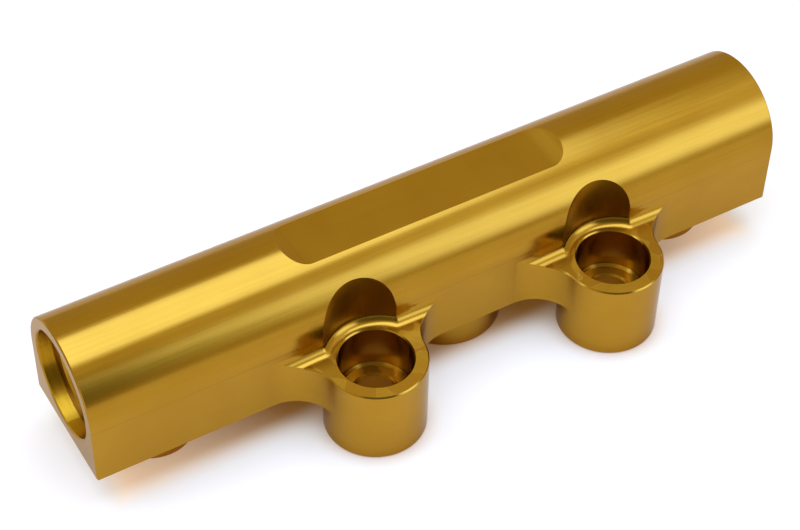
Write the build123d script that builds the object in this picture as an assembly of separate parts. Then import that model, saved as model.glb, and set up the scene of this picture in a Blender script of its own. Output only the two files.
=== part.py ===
from build123d import *
import os

# Fuel rail milled from one bar of aluminium.  Millimetres, X along the rail, Z up.
# It stands on its boss faces at z = 0, centred on the origin in X and Y.

# Bar: square below, half round on top
LENGTH = 145.0
WIDTH = 25.4
HEIGHT = 25.4
FOOT = 7.6                # how far every boss reaches below the bar

# Mounting bosses in front of the bar, for M8 socket head screws
BOSS_DIA = 19.2
BOSS_OUT = 18.6           # bar's middle plane to the screw axis
BOSS_TOP = 9.0            # boss top above the bar's underside
MOUNT_SPACING = 51.2
MOUNT_SHIFT = 5.6         # middle of the two mounts, to the right of the bar's middle
SCREW_HOLE_DIA = 8.5
COUNTERBORE_DIA = 13.8
COUNTERBORE_DEPTH = 9.4
COUNTERBORE_BEVEL = 0.5   # corner of the counterbore's floor
HOLE_BREAK = 0.4          # chamfer of the screw hole on the counterbore's floor
FLARE_R = 8.2             # concave sides of the web, tangent to the boss and to the bar
FOOT_FILLET_R = 1.9       # round foot of the walls behind the boss top
RELIEF_R = 10.8           # spanner relief cut into the bar above each boss
RELIEF_DEPTH = 3.0        # how deep it cuts into the bar's flat front
RELIEF_CORNER_R = 0.6     # upright edges where the relief leaves the bar's front
EDGE_BREAK = 0.25         # chamfer along the worked edges

# Round bosses under the bar
INJECTOR_SPACING = 113.0
INJECTOR_BOSS_DIA = 16.2
INJECTOR_BORE_DIA = 11.0
INJECTOR_BORE_DEPTH = 11.5
INJECTOR_MOUTH_DIA = 12.6 # lead-in that guides the injector's O-ring
INJECTOR_MOUTH_DEPTH = 1.5
FEED_DIA = 6.0            # from a bore under the bar up to the fuel bore
PORT_BOSS_DIA = 22.4

# Fuel bore and its 9/16-18 UNF ports, drawn at the thread's minor diameter
FUEL_BORE_DIA = 11.1
THREAD_MINOR_DIA = 12.9
THREAD_MOUTH_DIA = 14.6
END_THREAD_DEPTH = 9.9    # from the floor of the end recess, short of the feed hole
SIDE_THREAD_DEPTH = 12.0  # port in the middle boss
END_RECESS_DIA = 20.4
END_RECESS_DEPTH = 3.0

# Flat pad milled into the crown
PAD_LENGTH = 59.0
PAD_DEPTH = 1.25
PAD_CUTTER_R = 7.9

CROWN_R = WIDTH / 2
BOSS_R = BOSS_DIA / 2
BAR_Y = (BOSS_OUT + BOSS_R - CROWN_R) / 2
MOUNT_Y = BAR_Y - BOSS_OUT
FRONT_Y = BAR_Y - CROWN_R
AXIS_Z = FOOT + HEIGHT - CROWN_R
CROWN_Z = FOOT + HEIGHT
LAND_Z = FOOT + BOSS_TOP
TINY = 0.01
MOUNT_X = (MOUNT_SHIFT - MOUNT_SPACING / 2, MOUNT_SHIFT + MOUNT_SPACING / 2)
INJECTOR_X = (-INJECTOR_SPACING / 2, INJECTOR_SPACING / 2)


def upright(radius, bottom, top):
    """A round bar standing on the point where it is placed."""
    return Pos(0, 0, bottom) * Cylinder(
        radius, top - bottom, align=(Align.CENTER, Align.CENTER, Align.MIN)
    )


def bar():
    """The D-shaped bar, its half round on top."""
    r = CROWN_R
    edge = Polyline((r, AXIS_Z), (r, FOOT), (-r, FOOT), (-r, AXIS_Z))
    crown = ThreePointArc((-r, AXIS_Z), (0, CROWN_Z), (r, AXIS_Z))
    section = make_face(edge + crown)
    start = Plane.YZ.offset(-LENGTH / 2)
    return Pos(0, BAR_Y, 0) * extrude(start * section, LENGTH)


def flare_centre():
    """Centre of one concave flare, measured from the boss axis.

    The arc touches the boss from outside and runs out tangent to the bar's front face.
    """
    reach = BOSS_OUT - CROWN_R
    y = reach - FLARE_R
    x = ((BOSS_R + FLARE_R) ** 2 - y**2) ** 0.5
    return x, y


def web_plan(front):
    """Plan of the flared web that joins a boss to the bar, from y = front backwards."""
    x, y = flare_centre()
    back = BOSS_OUT - CROWN_R / 2
    plan = Pos(0, (front + back) / 2) * Rectangle(2 * x, back - front)
    plan -= Pos(x, y) * Circle(FLARE_R)
    plan -= Pos(-x, y) * Circle(FLARE_R)
    return plan


def mount_solid():
    """One mounting boss and its web, its top edges broken up to where the foot begins."""
    reach = BOSS_OUT - CROWN_R
    touch = flare_centre()[1] * BOSS_R / (BOSS_R + FLARE_R)
    web = Pos(0, 0, FOOT) * extrude(web_plan(touch), BOSS_TOP)
    solid = web + upright(BOSS_R, 0, LAND_Z)
    outline = solid.edges().filter_by_position(Axis.Z, LAND_Z, LAND_Z)
    solid = chamfer(outline.filter_by(GeomType.CIRCLE), EDGE_BREAK)
    foot = extrude(web_plan(reach - FOOT_FILLET_R), BOSS_TOP + FOOT_FILLET_R)
    return solid + Pos(0, 0, FOOT) * foot


def land_cutter():
    """What the mill clears above a boss: the land, and the relief behind it.

    The corner of the tool leaves one rounded foot that runs round all the walls.
    """
    reach = BOSS_OUT - CROWN_R
    half = flare_centre()[0] + 1
    depth = reach + BOSS_R + RELIEF_R
    plan = Pos(0, reach - depth / 2) * Rectangle(2 * half, depth)
    plan += Pos(0, reach + RELIEF_DEPTH - RELIEF_R) * Circle(RELIEF_R)
    level = plan.vertices().filter_by_position(Axis.Y, reach - TINY, reach + TINY)
    plan = fillet(level.sort_by(Axis.X)[1:-1], RELIEF_CORNER_R)
    cut = Pos(0, 0, LAND_Z) * extrude(plan, CROWN_Z - LAND_Z + 1)
    floor = cut.edges().filter_by_position(Axis.Z, LAND_Z, LAND_Z)
    foot = [e for e in floor if e.center().Y > reach - TINY]
    return fillet(foot, FOOT_FILLET_R)


def lip(radius, top, size):
    """Chamfer for the mouth, at height top, of an upright hole."""
    return Pos(0, 0, top) * Cone(radius - size, radius + 3 * size, 4 * size)


def screw_hole():
    """Counterbored screw hole of one mount."""
    floor = LAND_Z - COUNTERBORE_DEPTH
    head_r = COUNTERBORE_DIA / 2
    hole_r = SCREW_HOLE_DIA / 2
    head = upright(head_r, floor, LAND_Z + 1)
    head = chamfer(head.edges().sort_by(Axis.Z)[0], COUNTERBORE_BEVEL)
    hole = head + upright(hole_r, -1, LAND_Z)
    return hole + lip(head_r, LAND_Z, EDGE_BREAK) + lip(hole_r, floor, HOLE_BREAK)


def injector_bore():
    """Blind O-ring bore of one injector, and the feed hole up to the fuel bore."""
    r = INJECTOR_BORE_DIA / 2
    bore = upright(r, -1, INJECTOR_BORE_DEPTH)
    mouth = Pos(0, 0, INJECTOR_MOUTH_DEPTH / 2) * Cone(
        INJECTOR_MOUTH_DIA / 2, r, INJECTOR_MOUTH_DEPTH
    )
    return bore + mouth + upright(FEED_DIA / 2, 0, AXIS_Z)


def threaded_port(depth):
    """O-ring port cut upwards from z = 0: countersunk mouth and thread bore."""
    flare = (THREAD_MOUTH_DIA - THREAD_MINOR_DIA) / 2
    mouth = Cone(THREAD_MOUTH_DIA / 2, THREAD_MINOR_DIA / 2, flare)
    return upright(THREAD_MINOR_DIA / 2, -1, depth) + Pos(0, 0, flare / 2) * mouth


def middle_port():
    """Threaded port in the middle boss, open into the fuel bore."""
    return threaded_port(SIDE_THREAD_DEPTH) + upright(FEED_DIA / 2, 0, AXIS_Z)


def end_port():
    """Recess and threaded port in the left end of the bar."""
    port = Pos(0, 0, END_RECESS_DEPTH) * threaded_port(END_THREAD_DEPTH)
    port += upright(END_RECESS_DIA / 2, -1, END_RECESS_DEPTH)
    return Pos(-LENGTH / 2, BAR_Y, AXIS_Z) * Rot(0, 90, 0) * port


def fuel_bore():
    """The long bore and both threaded end ports."""
    bore = Pos(0, BAR_Y, AXIS_Z) * Rot(0, 90, 0) * Cylinder(FUEL_BORE_DIA / 2, LENGTH + 2)
    left = end_port()
    return bore + left + mirror(left, about=Plane.YZ)


def pad_cutter():
    """The flat pad in the crown, with ends that ramp up at the cutter's radius."""
    floor_z = CROWN_Z - PAD_DEPTH
    above = PAD_CUTTER_R
    run = (PAD_CUTTER_R**2 - (PAD_CUTTER_R - PAD_DEPTH) ** 2) ** 0.5
    flat = PAD_LENGTH - 2 * run
    slot = Pos(0, floor_z + above) * Rectangle(flat, 2 * PAD_CUTTER_R)
    for side in (-1, 1):
        slot += Pos(side * flat / 2, floor_z + above) * Circle(PAD_CUTTER_R)
    return extrude(Plane.XZ.offset(-BAR_Y) * slot, WIDTH / 2, both=True)


def broken(body):
    """Break the edges of the boss faces and of the bar's ends."""
    faces = body.edges().filter_by_position(Axis.Z, 0, 0)
    ends = body.edges().filter_by_position(Axis.X, -LENGTH / 2, -LENGTH / 2)
    ends += body.edges().filter_by_position(Axis.X, LENGTH / 2, LENGTH / 2)
    return chamfer(faces + ends, EDGE_BREAK)


def rail():
    """The whole rail: the bar with its bosses, then every cut and edge break."""
    body = bar()
    for x in MOUNT_X:
        body += Pos(x, MOUNT_Y, 0) * mount_solid()
    for x in INJECTOR_X:
        body += Pos(x, BAR_Y, 0) * upright(INJECTOR_BOSS_DIA / 2, 0, AXIS_Z)
    body += Pos(MOUNT_SHIFT, BAR_Y, 0) * upright(PORT_BOSS_DIA / 2, 0, AXIS_Z)
    for x in MOUNT_X:
        body -= Pos(x, MOUNT_Y, 0) * land_cutter()
        body -= Pos(x, MOUNT_Y, 0) * screw_hole()
    body -= fuel_bore()
    for x in INJECTOR_X:
        body -= Pos(x, BAR_Y, 0) * injector_bore()
    body -= Pos(MOUNT_SHIFT, BAR_Y, 0) * middle_port()
    body -= pad_cutter()
    return broken(body)


os.makedirs("parts", exist_ok=True)
export_step(rail(), "parts/fuel_rail.step")
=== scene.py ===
from math import cos, pi, radians, sin, tan

import bpy
from mathutils import Matrix, Vector


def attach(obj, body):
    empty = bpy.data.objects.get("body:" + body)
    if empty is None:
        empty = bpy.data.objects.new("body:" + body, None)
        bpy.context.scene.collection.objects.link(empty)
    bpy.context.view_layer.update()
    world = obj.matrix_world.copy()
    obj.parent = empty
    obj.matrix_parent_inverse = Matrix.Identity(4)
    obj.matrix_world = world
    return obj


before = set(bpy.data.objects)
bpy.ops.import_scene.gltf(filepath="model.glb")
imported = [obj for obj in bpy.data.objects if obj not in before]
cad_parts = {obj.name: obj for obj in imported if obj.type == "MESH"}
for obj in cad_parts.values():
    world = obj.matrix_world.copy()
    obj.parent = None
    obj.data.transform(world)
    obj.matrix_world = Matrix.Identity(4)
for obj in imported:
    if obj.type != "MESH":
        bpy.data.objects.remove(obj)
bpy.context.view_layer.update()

# ---------------------------------------------------------------- sizes, in metres

# The rail, as in its source
BAR_Y = 0.00775             # the bar's middle plane
AXIS_Z = 0.0203             # axis of the fuel bore and of the round top
CROWN_R = 0.0127
HALF = 0.0725               # half the bar's length
RECESS = 0.003              # depth of the recess in each end
RECESS_R = 0.0102
LAND_Z = 0.0166             # tops of the mounting bosses
MOUNT_X = (-0.020, 0.0312)
MOUNT_Y = -0.01085
MOUNTS = tuple((x, MOUNT_Y) for x in MOUNT_X)
BOSS_R = 0.0096
COUNTERBORE_R = 0.0069
RELIEF_R = 0.0108           # relief cut in the bar behind each mounting boss
MIDDLE_X = 0.0056           # axis of the port in the middle boss

# Its 9/16-18 UNF threads
PITCH = 0.0254 / 18
BORE_R = 0.00645            # the plain bore that the solid has
MOUTH = 0.00085             # depth of a port's countersunk mouth
END_DEPTH = 0.0099
MIDDLE_DEPTH = 0.012
RIDGE = 0.00034             # how far the ridge stands in from the bore
SUNK = 0.00006              # how far its root goes into the wall
CREST_HALF = 0.07           # half its width at the crest, and at the root, in pitches
ROOT_HALF = 0.40
END_SPACE = 0.45            # turns from each end of the bore to the middle of the ridge
RUN_OUT = 0.4               # turns over which it grows from nothing
TURN_STEPS = 56             # sections in a turn

# ---------------------------------------------------------------- colours and finish

GOLD = (0.382, 0.194, 0.0082, 1)
GOLD_PALE = (0.416, 0.216, 0.0115, 1)
GOLD_DEEP = (0.346, 0.171, 0.0058, 1)
# The next two: a dark for the lands' patches and the witness line, and also for painted shade at
# the lands' front tips; a pale that is painted light on the lands' wings
LAND_DARK = (0.280, 0.110, 0.002, 1)
LAND_PAINTED_LIGHT = (0.62, 0.35, 0.02, 1)
LAND_SEAM = (0.56, 0.33, 0.04, 1)
EDGE_TINT = (0.70, 0.64, 0.56, 1)       # of what is mirrored at a grazing angle
LEVEL_TINT = (0.60, 0.46, 0.20, 1)      # the same, on level faces

ROUGH = 0.20
ROUGH_BY_MARKS = 0.06
ROUGH_BY_CLOUD = 0.03
ROUGH_WALL = 0.29           # reliefs and end recesses
ROUGH_LAND = 0.32
COAT = 0.20
COAT_ROUGH = 0.15

# Tool marks: pitch across the lines, and the run along them over which they change
CROWN_LINES = (0.00055, 0.030)
PAD_LINES = (0.00045, 0.030)
FLAT_LINES = (0.00016, 0.009)
RECESS_RINGS = (0.00030, 0.012)
COUNTERBORE_RINGS = (0.00032, 0.004)
LAND_SWEEPS = (0.00040, 0.020)
END_SWEEPS = (0.00024, 0.020)
LAND_SWEEP_AT = ((MOUNT_X[0] - 0.004, MOUNT_Y - 0.009), (MOUNT_X[1] - 0.003, MOUNT_Y - 0.012))
END_SWEEP_AT = (BAR_Y + 0.030, AXIS_Z - 0.024)
RECESS_GAIN, LAND_GAIN, PAD_GAIN = 9.0, 2.5, 0.35        # beside 1 for the crown and flats
PIT_GAIN = 0.25
MARK_STRENGTH = 0.32
MARK_HEIGHT = 0.000010
GROOVE_LEAN = 0.28          # lean of the recess walls' grooves, as a share of the normal

# Noise: features in a metre
CLOUD_SCALE = 70.0
PATCH_SCALE = 250.0
FILM_SCALE = 900.0
PIT_SCALE = 7000.0
PATCH_EDGE = 0.498          # level of the noise where a patch of the land ends

TIP_PAINTED_SHADE_SHARE, WING_PAINTED_LIGHT_SHARE, PATCH_SHARE = 0.45, 0.55, 0.6     # how much of each the land takes: the painted shade at its front, the painted light on its wings, and its patches
SEAM_SHARE = 0.5
WITNESS_SHARE = 0.4
WITNESS_DROP = 0.0004       # the line on the front, below the round top's axis

# ---------------------------------------------------------------- floor, light and camera

FLOOR_HALF = 4.0
PAPER = (0.68, 0.590, 0.400, 1)
PAPER_SHADE = (0.70, 0.46, 0.22, 1)     # painted warm shade under the rail, standing in for light that the gold above throws down
# Glows seen by the camera and the metal: the first, third and fourth are painted light, next to the
# rail and in its shade, most at the bar's ends; the second is the even open floor
NEAR_GLOW = (0.335, 0.335, 0.330, 1)
OPEN_GLOW = (0.22, 0.22, 0.22, 1)
SHADE_GLOW = (0.07, 0.030, 0.004, 1)
END_GLOW = (0.54, 0.41, 0.30, 1)
SHADE_INSET = 0.004         # of the shade at the bar's ends
SHADE_BLEND = 0.008         # over which the bar's shade flows into the bosses'
SHADE_EDGE = (-0.0035, 0.0030)          # distances outside the rail's plan
GLOW_FADE = (0.008, 0.060)
END_FADE = (0.030, 0.080)               # distances from the bar's middle

WORLD_LEVEL = 0.74
ROOM = (1.0, 0.90, 0.58, 1)             # warm, and the lamps cool, as in the photograph
LAMP = (1.0, 1.30, 2.5, 1)
PLAIN = (1.0, 1.0, 1.0, 1)

# Studio cards: azimuth from the front towards the right, elevation, half width, half height and
# the half width of the soft edge across and up, in degrees; then level, colour and distance (m)
CARDS = {
    "dark_card": (-18, 22, 31, 28, 3, 12, 0.20, PLAIN, 3.4),
    "side_card": (62, 50, 24, 11, 8, 6, 1.15, PLAIN, 3.2),
    "front_card": (37.5, 26, 16.5, 16, 5, 8, 2.3, LAMP, 2.9),
    "top_card": (180, 85, 27, 24.5, 3, 3, 2.65, LAMP, 2.7),
    "left_card": (-109, 47, 12, 10, 2, 3, 3.4, LAMP, 2.5),
}

# The photograph's camera, for a frame of 800 by 530
PHOTO_WIDTH = 800
FOCAL_PIXELS = 2099.07
CAMERA_AT = (-0.145625, -0.22450, 0.29832)
CAMERA_RIGHT = (0.862931, -0.505035, 0.017042)
CAMERA_DOWN = (-0.353966, -0.628187, -0.692884)
SENSOR_WIDTH = 36.0         # in millimetres
CLIP_START = 0.01


# ---------------------------------------------------------------- materials

class Nodes:
    """Short calls for building one material's node tree."""

    def __init__(self, name):
        self.material = bpy.data.materials.new(name)
        self.material.use_nodes = True
        self.tree = self.material.node_tree
        self.tree.nodes.clear()

    def add(self, kind, **settings):
        node = self.tree.nodes.new("ShaderNode" + kind)
        for key, value in settings.items():
            setattr(node, key, value)
        return node

    def feed(self, socket, value):
        """A link where value is a socket, and otherwise the socket's own number or colour."""
        if isinstance(value, bpy.types.NodeSocket):
            self.tree.links.new(value, socket)
        else:
            socket.default_value = value

    def feed_all(self, sockets, values):
        for socket, value in zip(sockets, values):
            self.feed(socket, value)

    def math(self, operation, a, b=0.0, c=0.0, clamp=False):
        node = self.add("Math", operation=operation, use_clamp=clamp)
        self.feed_all(node.inputs, (a, b, c))
        return node.outputs[0]

    def minus(self, a, b):
        return self.math("SUBTRACT", a, b)

    def times(self, first, *others):
        for other in others:
            first = self.math("MULTIPLY", first, other)
        return first

    def least(self, a, b):
        return self.math("MINIMUM", a, b)

    def most(self, a, b):
        return self.math("MAXIMUM", a, b)

    def size(self, value):
        return self.math("ABSOLUTE", value)

    def reverse(self, share):
        return self.minus(1.0, share)

    def swing(self, value, gain, middle):
        """A value round 0.5 made gain times as strong, round middle."""
        return self.math("MULTIPLY_ADD", self.minus(value, 0.5), gain, middle)

    def step(self, value, low, high):
        """0 below low, 1 above high, smooth between them."""
        node = self.add("MapRange", interpolation_type="SMOOTHSTEP")
        for name, number in (("Value", value), ("From Min", low), ("From Max", high)):
            self.feed(node.inputs[name], number)
        return node.outputs[0]

    def below(self, value, low, high):
        """1 below low, 0 above high, smooth between them."""
        return self.reverse(self.step(value, low, high))

    def spread(self, value, low, high):
        """A value from 0 to 1 spread over low to high."""
        node = self.add("MapRange")
        for name, number in (("Value", value), ("To Min", low), ("To Max", high)):
            self.feed(node.inputs[name], number)
        return node.outputs[0]

    def mix(self, factor, a, b):
        """Between two colours."""
        node = self.add("Mix", data_type="RGBA")
        self.feed_all((node.inputs[0], node.inputs[6], node.inputs[7]), (factor, a, b))
        return node.outputs[2]

    def blend(self, factor, a, b):
        """Between two numbers."""
        node = self.add("Mix", data_type="FLOAT")
        self.feed_all((node.inputs[0], node.inputs[2], node.inputs[3]), (factor, a, b))
        return node.outputs[0]

    def vector(self, x, y, z):
        node = self.add("CombineXYZ")
        self.feed_all(node.inputs, (x, y, z))
        return node.outputs[0]

    def parts(self, vector):
        node = self.add("SeparateXYZ")
        self.feed(node.inputs[0], vector)
        return node.outputs

    def noise(self, where, scale, detail, rough):
        node = self.add("TexNoise", noise_dimensions="3D")
        self.feed(node.inputs["Vector"], where)
        node.inputs["Scale"].default_value = scale
        node.inputs["Detail"].default_value = detail
        node.inputs["Roughness"].default_value = rough
        return node.outputs[0]

    def lines(self, across, along, pitch, run):
        """Uneven tool lines, pitch apart across, that change slowly over run along them."""
        x = self.math("DIVIDE", across, pitch)
        y = self.math("DIVIDE", along, run)
        return self.noise(self.vector(x, y, 0.0), 1.0, 2.0, 0.6)

    def distance(self, a, a0, b, b0):
        """Distance in a plane from the point a0, b0."""
        x, y = self.minus(a, a0), self.minus(b, b0)
        return self.math("SQRT", self.math("ADD", self.times(x, x), self.times(y, y)))

    def nearest(self, x, y, places):
        """Distance in plan from the nearer of two places."""
        left, right = (self.distance(x, place[0], y, place[1]) for place in places)
        return self.least(left, right)

    def output(self, shader):
        out = self.add("OutputMaterial")
        self.tree.links.new(shader, out.inputs["Surface"])
        return self.material


class Faces:
    """Where a point of the rail is, and masks for the cut that made its face.

    Each mask fades in close to the edge that is named, over less than 2 mm.
    """

    def __init__(self, n):
        self.place = n.add("TexCoord").outputs["Object"]
        self.x, self.y, self.z = n.parts(self.place)
        self.normal = n.add("NewGeometry").outputs["Normal"]
        facing = n.parts(self.normal)
        self.radius = n.distance(self.y, BAR_Y, self.z, AXIS_Z)
        self.near = n.nearest(self.x, self.y, MOUNTS)
        self.towards_front = n.size(facing["Y"])

        self.level = n.step(facing["Z"], 0.990, 0.999)
        self.end = n.step(n.size(self.x), HALF - 0.0003, HALF - 0.0001)
        self.inside = n.below(self.radius, RECESS_R + 0.0001, RECESS_R + 0.0004)
        self.round_top = n.times(
            n.step(self.z, AXIS_Z, AXIS_Z + 0.0006),
            n.step(self.radius, CROWN_R - 0.00008, CROWN_R - 0.00004),
        )
        self.counterbore = n.below(self.near, COUNTERBORE_R + 0.0002, COUNTERBORE_R + 0.0005)
        self.land = n.times(self.level, n.below(self.near, RELIEF_R + 0.0002, RELIEF_R + 0.0012))
        self.relief = n.times(
            n.below(n.size(facing["Z"]), 0.25, 0.45),
            n.step(self.z, LAND_Z - 0.0004, LAND_Z + 0.0004),
            n.below(self.near, RELIEF_R, RELIEF_R + 0.0017),
        )


def tool_marks(n, at):
    """Height of the lines that each cutter left, from 0 to 1 on most faces."""
    angle = n.math("ARCTAN2", n.minus(at.y, BAR_Y), n.minus(at.z, AXIS_Z))
    arc = n.times(angle, CROWN_R)
    rings = n.swing(n.lines(at.x, arc, *RECESS_RINGS), RECESS_GAIN, 0.5)
    pad = n.swing(n.lines(at.y, at.x, *PAD_LINES), PAD_GAIN, 0.5)
    sweep = n.lines(n.nearest(at.x, at.y, LAND_SWEEP_AT), at.x, *LAND_SWEEPS)
    end_y, end_z = END_SWEEP_AT
    end = n.lines(n.distance(at.y, end_y, at.z, end_z), at.y, *END_SWEEPS)

    height = n.blend(at.inside, n.lines(at.z, at.x, *FLAT_LINES), rings)
    height = n.blend(at.level, height, pad)
    height = n.blend(at.land, height, n.swing(sweep, LAND_GAIN, 0.5))
    height = n.blend(at.round_top, height, n.lines(arc, at.x, *CROWN_LINES))
    height = n.blend(at.counterbore, height, n.lines(at.near, at.z, *COUNTERBORE_RINGS))
    return n.blend(at.end, height, end)


def leaned(n, at):
    """The normal, leaned out on the end recesses' walls as the flanks of turned grooves are."""
    wall = n.times(
        n.step(at.radius, RECESS_R - 0.0005, RECESS_R - 0.0003),
        n.below(at.radius, RECESS_R + 0.0001, RECESS_R + 0.0004),
        n.step(n.size(at.x), HALF - RECESS + 0.0001, HALF - RECESS + 0.0004),
    )
    outward = n.times(n.math("SIGN", at.x), wall, GROOVE_LEAN)
    total = n.add("VectorMath", operation="ADD")
    n.feed_all(total.inputs, (at.normal, n.vector(outward, 0.0, 0.0)))
    unit = n.add("VectorMath", operation="NORMALIZE")
    n.feed(unit.inputs[0], total.outputs[0])
    return unit.outputs[0]


def land_colour_and_painted_light(n, at, colour):
    """The lands' tints in patches with pale seams, over painted shade that darkens their front tips
    and painted light that pales their wings.
    """
    behind = n.minus(at.y, MOUNT_Y)
    # painted shade at the front of each land, and painted light on its wings towards the bar
    tip_painted_shade = n.times(at.land, n.step(n.minus(MOUNT_Y, at.y), -0.002, 0.006))
    wing_painted_light = n.times(at.land, n.step(behind, -0.001, 0.004))
    field = n.noise(at.place, PATCH_SCALE, 0.0, 0.5)
    patch = n.times(at.land, n.step(field, PATCH_EDGE - 0.013, PATCH_EDGE - 0.001))
    seam = n.times(at.land, n.below(n.size(n.minus(field, PATCH_EDGE)), 0.002, 0.007))
    colour = n.mix(n.times(tip_painted_shade, TIP_PAINTED_SHADE_SHARE), colour, LAND_DARK)
    colour = n.mix(n.times(wing_painted_light, WING_PAINTED_LIGHT_SHARE), colour, LAND_PAINTED_LIGHT)
    colour = n.mix(n.times(patch, PATCH_SHARE), colour, LAND_DARK)
    return n.mix(n.times(seam, SEAM_SHARE), colour, LAND_SEAM)


def witness_line(n, at, colour):
    """The faint line where the round top runs out into the front."""
    off = n.size(n.minus(at.z, AXIS_Z - WITNESS_DROP))
    line = n.times(n.below(off, 0.00004, 0.00016), n.step(at.towards_front, 0.9, 0.97))
    return n.mix(n.times(line, WITNESS_SHARE), colour, LAND_DARK)


def anodised(name):
    """Gold anodised aluminium, with the marks of the tool that cut each face, and painted shade and
    light on the lands.
    """
    n = Nodes(name)
    at = Faces(n)
    marks = tool_marks(n, at)
    cloud = n.noise(at.place, CLOUD_SCALE, 2.0, 0.5)
    film = n.noise(at.place, FILM_SCALE, 3.0, 0.6)
    pits = n.noise(at.place, PIT_SCALE, 2.0, 0.6)

    bump = n.add("Bump")
    bump.inputs["Strength"].default_value = MARK_STRENGTH
    bump.inputs["Distance"].default_value = MARK_HEIGHT
    n.feed(bump.inputs["Height"], n.math("MULTIPLY_ADD", pits, PIT_GAIN, marks))
    n.feed(bump.inputs["Normal"], leaned(n, at))

    tone = n.math("MULTIPLY_ADD", marks, 0.5, n.times(cloud, 0.5))
    colour = n.mix(n.step(tone, 0.35, 0.65), GOLD_DEEP, GOLD_PALE)
    colour = n.mix(n.spread(film, 0.2, 0.7), colour, GOLD)
    colour = witness_line(n, at, land_colour_and_painted_light(n, at, colour))

    rough = n.swing(marks, ROUGH_BY_MARKS, ROUGH)
    rough = n.swing(cloud, ROUGH_BY_CLOUD, rough)
    rough = n.blend(n.most(at.relief, at.inside), rough, ROUGH_WALL)
    rough = n.blend(at.land, rough, ROUGH_LAND)

    shader = n.add("BsdfPrincipled")
    n.feed(shader.inputs["Base Color"], colour)
    n.feed(shader.inputs["Roughness"], rough)
    n.feed(shader.inputs["Normal"], bump.outputs[0])
    n.feed(shader.inputs["Specular Tint"], n.mix(at.level, EDGE_TINT, LEVEL_TINT))
    shader.inputs["Metallic"].default_value = 1.0
    shader.inputs["Coat Weight"].default_value = COAT
    shader.inputs["Coat Roughness"].default_value = COAT_ROUGH
    return n.output(shader.outputs[0])


def outside_plan(n, x, y):
    """Distance outside the rail's plan: the bar's oblong, flowing into the two mounting bosses."""
    over_x = n.minus(n.size(x), HALF - SHADE_INSET)
    over_y = n.minus(n.size(n.minus(y, BAR_Y)), CROWN_R)
    corner = n.distance(n.most(over_x, 0.0), 0.0, n.most(over_y, 0.0), 0.0)
    oblong = n.math("ADD", corner, n.least(n.most(over_x, over_y), 0.0))
    bosses = n.minus(n.nearest(x, y, MOUNTS), BOSS_R)
    return n.math("SMOOTH_MIN", oblong, bosses, SHADE_BLEND)


def paper(name):
    """Pale paper, white in the open, with part of the warm shade under the rail painted in."""
    n = Nodes(name)
    x, y, _ = n.parts(n.add("TexCoord").outputs["Object"])
    outside = outside_plan(n, x, y)
    clear = n.step(outside, *SHADE_EDGE)
    matt = n.add("BsdfDiffuse")
    n.feed(matt.inputs["Color"], n.mix(clear, PAPER_SHADE, PAPER))

    # a glow that the camera sees and the metal mirrors, and that gives no diffuse light: even in
    # the open, and painted light next to the rail and in the shade under it, most towards the bar's
    # ends
    path = n.add("LightPath")
    seen = n.math("ADD", path.outputs["Is Camera Ray"], path.outputs["Is Glossy Ray"])
    seen = n.math("ADD", seen, path.outputs["Is Transmission Ray"], clamp=True)
    shade = n.mix(n.step(n.size(x), *END_FADE), SHADE_GLOW, END_GLOW)
    open_floor = n.mix(n.step(outside, *GLOW_FADE), NEAR_GLOW, OPEN_GLOW)
    glow = n.add("Emission")
    n.feed(glow.inputs["Color"], n.mix(clear, shade, open_floor))
    n.feed(glow.inputs["Strength"], seen)

    both = n.add("AddShader")
    n.feed_all(both.inputs, (matt.outputs[0], glow.outputs[0]))
    return n.output(both.outputs[0])


def cloth(name, level, colour, inner_x, inner_y):
    """A studio card of one level in its middle, thinning out to nothing at its edges."""
    n = Nodes(name)
    across, up, _ = n.parts(n.add("TexCoord").outputs["Generated"])
    solid = n.times(*(
        n.below(n.size(n.minus(at, 0.5)), 0.5 * inner, 0.5)
        for at, inner in ((across, inner_x), (up, inner_y))
    ))
    light = n.add("Emission")
    light.inputs["Color"].default_value = colour
    light.inputs["Strength"].default_value = level
    both = n.add("MixShader")
    n.feed_all(both.inputs, (solid, n.add("BsdfTransparent").outputs[0], light.outputs[0]))
    return n.output(both.outputs[0])


# ---------------------------------------------------------------- pieces

def mesh_object(name, points, faces):
    mesh = bpy.data.meshes.new(name)
    mesh.from_pydata(points, [], faces)
    mesh.validate()
    mesh.update()
    piece = bpy.data.objects.new(name, mesh)
    bpy.context.scene.collection.objects.link(piece)
    return piece


def flat_sheet(name, half_w, half_h, face):
    """A flat rectangle round the origin, in X and Y; face is the order of its corners."""
    signs = ((-1, -1), (1, -1), (1, 1), (-1, 1))
    return mesh_object(name, [(i * half_w, j * half_h, 0) for i, j in signs], [face])


def thread(name, length, place):
    """The ridge of a thread: a helix up Z from 0 to length, on the wall of its bore."""
    count = int((length / PITCH - 2 * END_SPACE) * TURN_STEPS)
    rise = RUN_OUT * TURN_STEPS
    root = BORE_R + SUNK
    points, faces = [], []
    for k in range(count + 1):
        a = 2 * pi * k / TURN_STEPS
        z = (k / TURN_STEPS + END_SPACE) * PITCH
        crest = BORE_R - RIDGE * min(1.0, k / rise, (count - k) / rise)
        profile = ((root, -ROOT_HALF), (crest, -CREST_HALF), (crest, CREST_HALF), (root, ROOT_HALF))
        for r, dz in profile:
            points.append(place @ Vector((r * cos(a), r * sin(a), z + dz * PITCH)))
    for k in range(count):
        for j in range(4):
            a, b = 4 * k + j, 4 * k + (j + 1) % 4
            faces.append((a, b, b + 4, a + 4))
    faces.append((0, 3, 2, 1))
    faces.append(tuple(4 * count + j for j in range(4)))
    return mesh_object(name, points, faces)


def port(x, y, z, direction):
    """Frame whose +Z runs into a port from the start of its thread."""
    turn = Vector((0, 0, 1)).rotation_difference(Vector(direction)).to_matrix().to_4x4()
    return Matrix.Translation((x, y, z)) @ turn


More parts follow.
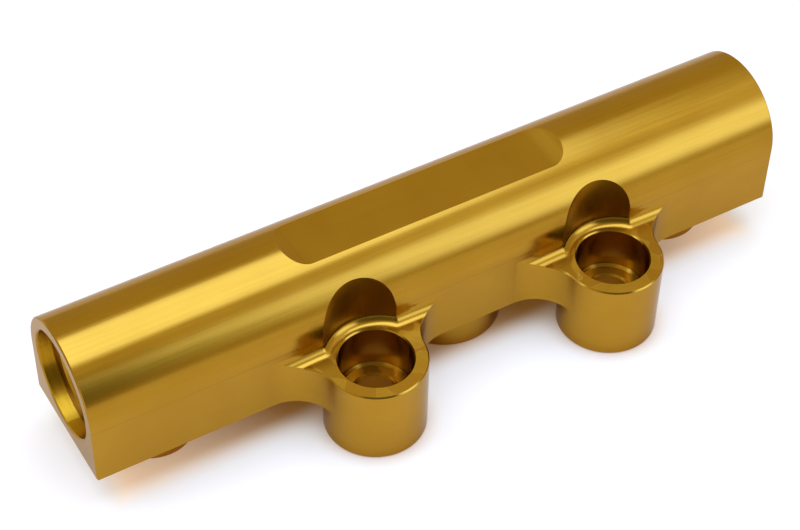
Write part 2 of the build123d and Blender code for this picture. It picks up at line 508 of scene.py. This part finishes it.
def card(name, azimuth, elevation, half_w, half_h, soft_w, soft_h, level, colour, far):
    """A flat card round the rail, facing it, with soft edges; the camera doesn't see it."""
    a, e = radians(azimuth), radians(elevation)
    centre = Vector((cos(e) * sin(a), -cos(e) * cos(a), sin(e)))
    across = Vector((cos(a), sin(a), 0))
    w = far * tan(radians(half_w + soft_w))
    h = far * tan(radians(half_h + soft_h))
    piece = flat_sheet(name, w, h, (0, 3, 2, 1))
    turn = Matrix((across, centre.cross(across), centre)).transposed().to_4x4()
    piece.matrix_world = Matrix.Translation(centre * far) @ turn
    inner_x = far * tan(radians(half_w - soft_w)) / w
    inner_y = far * tan(radians(half_h - soft_h)) / h
    piece.data.materials.append(cloth(name, level, colour, inner_x, inner_y))
    piece.visible_camera = False


# ---------------------------------------------------------------- the rail

gold = anodised("gold_anodised")
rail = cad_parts["fuel_rail"]
rail.data.materials.clear()
rail.data.materials.append(gold)

start = HALF - RECESS - MOUTH
threads = (
    thread("left_port_thread", END_DEPTH - MOUTH, port(-start, BAR_Y, AXIS_Z, (1, 0, 0))),
    thread("right_port_thread", END_DEPTH - MOUTH, port(start, BAR_Y, AXIS_Z, (-1, 0, 0))),
    thread("middle_port_thread", MIDDLE_DEPTH - MOUTH, port(MIDDLE_X, BAR_Y, MOUTH, (0, 0, 1))),
)
for piece in threads:
    piece.data.materials.append(gold)
    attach(piece, "root")

# ---------------------------------------------------------------- floor and light

floor = flat_sheet("floor", FLOOR_HALF, FLOOR_HALF, (0, 1, 2, 3))
floor.data.materials.append(paper("paper"))

for name, values in CARDS.items():
    card(name, *values)

world = bpy.data.worlds.new("studio")
bpy.context.scene.world = world
world.use_nodes = True
tree = world.node_tree
tree.nodes.clear()
background = tree.nodes.new("ShaderNodeBackground")
background.inputs["Color"].default_value = ROOM
background.inputs["Strength"].default_value = WORLD_LEVEL
tree.links.new(background.outputs[0], tree.nodes.new("ShaderNodeOutputWorld").inputs["Surface"])

# ---------------------------------------------------------------- camera

right = Vector(CAMERA_RIGHT).normalized()
up = -Vector(CAMERA_DOWN).normalized()
back = right.cross(up)
turn = Matrix((right, up, back)).transposed().to_4x4()
lens = bpy.data.cameras.new("camera")
lens.sensor_fit = "HORIZONTAL"
lens.sensor_width = SENSOR_WIDTH
lens.lens = FOCAL_PIXELS / PHOTO_WIDTH * SENSOR_WIDTH
lens.clip_start = CLIP_START
camera = bpy.data.objects.new("camera", lens)
camera.matrix_world = Matrix.Translation(CAMERA_AT) @ turn
bpy.context.scene.collection.objects.link(camera)
bpy.context.scene.camera = camera
bpy.context.scene.view_settings.view_transform = "Standard"
